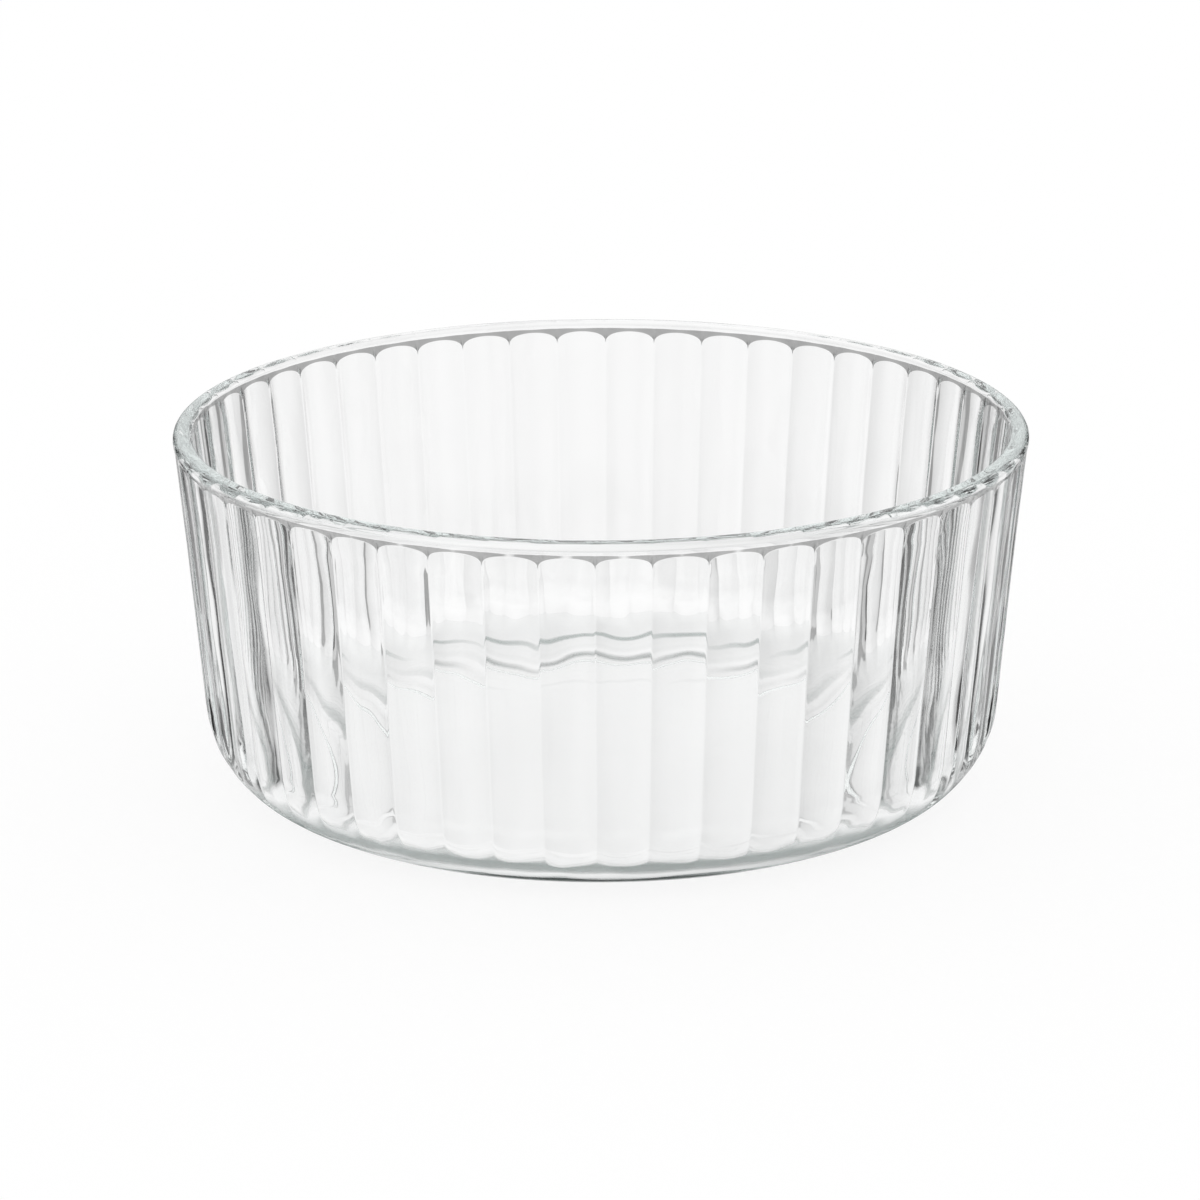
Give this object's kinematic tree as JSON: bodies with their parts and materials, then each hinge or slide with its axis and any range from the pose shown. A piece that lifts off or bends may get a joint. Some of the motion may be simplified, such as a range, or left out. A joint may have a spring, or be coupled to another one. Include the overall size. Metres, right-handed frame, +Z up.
{
  "type": "glass bowl",
  "caption": "Clear pressed-glass serving bowl, one solid piece: ribbed sides that widen to a smooth rounded rim, a rounded bottom edge and a flat standing ring.",
  "frame": {"origin": "centre of the underside, on the surface the bowl stands on", "axes": "+Z up along the bowl's axis, towards the open rim; a groove between two ribs faces -Y"},
  "size_m": [0.2, 0.2, 0.086],
  "materials": {
    "clear_glass": "clear fire-polished pressed glass with a faint green tint where it is thick"
  },
  "bodies": {
    "root": {"bowl": "clear_glass"}
  },
  "joints": []
}
